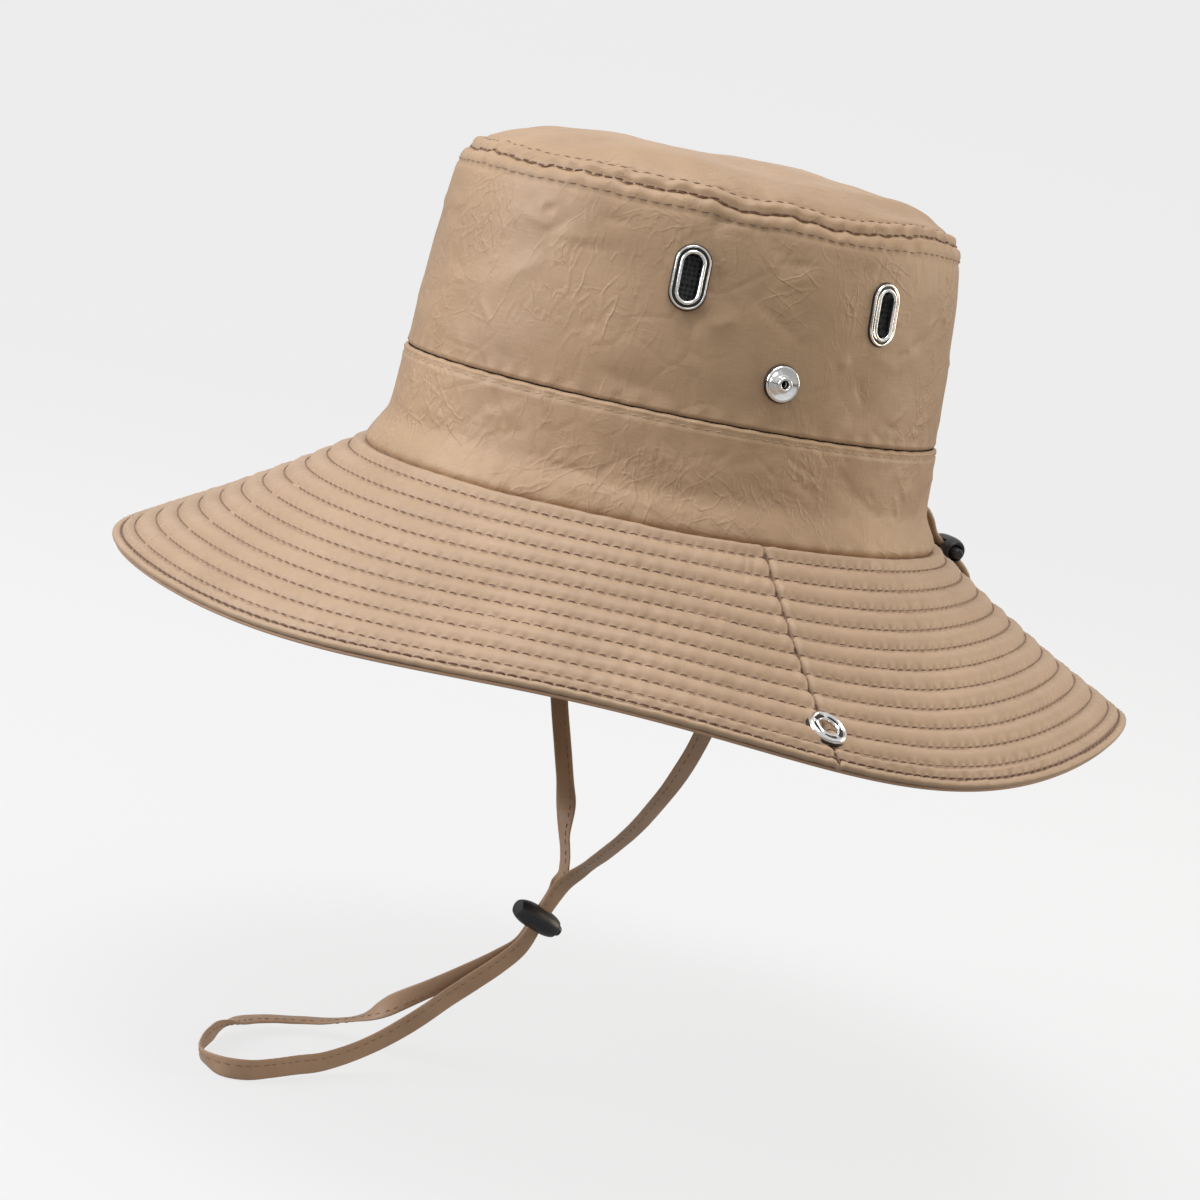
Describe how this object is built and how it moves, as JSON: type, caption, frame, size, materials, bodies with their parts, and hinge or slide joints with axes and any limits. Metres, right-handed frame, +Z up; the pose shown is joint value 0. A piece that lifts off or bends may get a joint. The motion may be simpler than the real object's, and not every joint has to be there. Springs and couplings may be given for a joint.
{
  "type": "boonie hat",
  "caption": "Soft sun hat with a flat-topped crown, wide quilted brim, fold-up side flaps with snaps, mesh-backed side vents, rear drawcord and sliding chin strap.",
  "frame": {"origin": "centre of the head opening, in the plane where crown and brim join", "axes": "+Z up through the crown, -Y towards the front of the hat, +X towards the wearer's left"},
  "size_m": [0.3234, 0.3516, 0.3271],
  "materials": {
    "shell_fabric": "matte",
    "brim_fabric": "matte",
    "inner_fabric": "matte",
    "interlining": "matte",
    "strap_fabric": "matte",
    "black_mesh": "matte",
    "chrome": "polished",
    "black_plastic": "satin",
    "spring_steel": "satin"
  },
  "bodies": {
    "hat": {"crown_tip": "shell_fabric", "crown_wall": "shell_fabric", "wall_lining_mesh": "black_mesh", "tip_lining_mesh": "black_mesh", "crown_band": "shell_fabric", "sweatband": "inner_fabric", "vent_eyelet_front_left": "chrome", "vent_eyelet_rear_left": "chrome", "vent_eyelet_front_right": "chrome", "vent_eyelet_rear_right": "chrome", "vent_washer_front_left": "chrome", "vent_washer_rear_left": "chrome", "vent_washer_front_right": "chrome", "vent_washer_rear_right": "chrome", "snap_stud_left": "chrome", "snap_stud_right": "chrome", "snap_stud_back_left": "chrome", "snap_stud_back_right": "chrome", "brim_upper_front": "brim_fabric", "brim_upper_rear": "brim_fabric", "brim_core_front": "interlining", "brim_core_rear": "interlining", "brim_under_front": "inner_fabric", "brim_under_rear": "inner_fabric", "chin_strap": "strap_fabric", "rear_drawcord": "strap_fabric"},
    "flap_left": {"flap_upper_front_left": "brim_fabric", "flap_upper_rear_left": "brim_fabric", "flap_core_left": "interlining", "flap_under_front_left": "inner_fabric", "flap_under_rear_left": "inner_fabric", "snap_socket_left": "chrome", "snap_cap_left": "chrome"},
    "flap_right": {"flap_upper_front_right": "brim_fabric", "flap_upper_rear_right": "brim_fabric", "flap_core_right": "interlining", "flap_under_front_right": "inner_fabric", "flap_under_rear_right": "inner_fabric", "snap_socket_right": "chrome", "snap_cap_right": "chrome"},
    "chin_lock": {"chin_lock_body": "black_plastic", "chin_lock_spring": "spring_steel"},
    "chin_plunger": {"chin_lock_plunger": "black_plastic"},
    "rear_lock": {"rear_lock_body": "black_plastic", "rear_lock_spring": "spring_steel"},
    "rear_plunger": {"rear_lock_plunger": "black_plastic"}
  },
  "joints": [
    {"name": "flap_left_fold", "type": "hinge", "parent": "hat", "child": "flap_left", "pos_m": [0.098, 0, -0.0068], "axis": [0, -1, 0], "range_deg": [0, 136]},
    {"name": "flap_right_fold", "type": "hinge", "parent": "hat", "child": "flap_right", "pos_m": [-0.098, 0, -0.0068], "axis": [0, 1, 0], "range_deg": [0, 136]},
    {"name": "chin_lock_slide", "type": "slide", "parent": "hat", "child": "chin_lock", "axis": [0, -0.41, -0.9121], "range_m": [-0.008, 0.005]},
    {"name": "chin_lock_press", "type": "slide", "parent": "chin_lock", "child": "chin_plunger", "axis": [0, -0.9121, 0.41], "range_m": [0, 0.0021], "stiffness_N_per_m": 400, "springref_m": -0.002, "deforming": ["chin_lock_spring"]},
    {"name": "rear_lock_slide", "type": "slide", "parent": "hat", "child": "rear_lock", "axis": [0, 0.8222, -0.5692], "range_m": [-0.0006, 0.0006]},
    {"name": "rear_lock_press", "type": "slide", "parent": "rear_lock", "child": "rear_plunger", "axis": [-1, 0, 0], "range_m": [0, 0.0021], "stiffness_N_per_m": 400, "springref_m": -0.002, "deforming": ["rear_lock_spring"]}
  ]
}
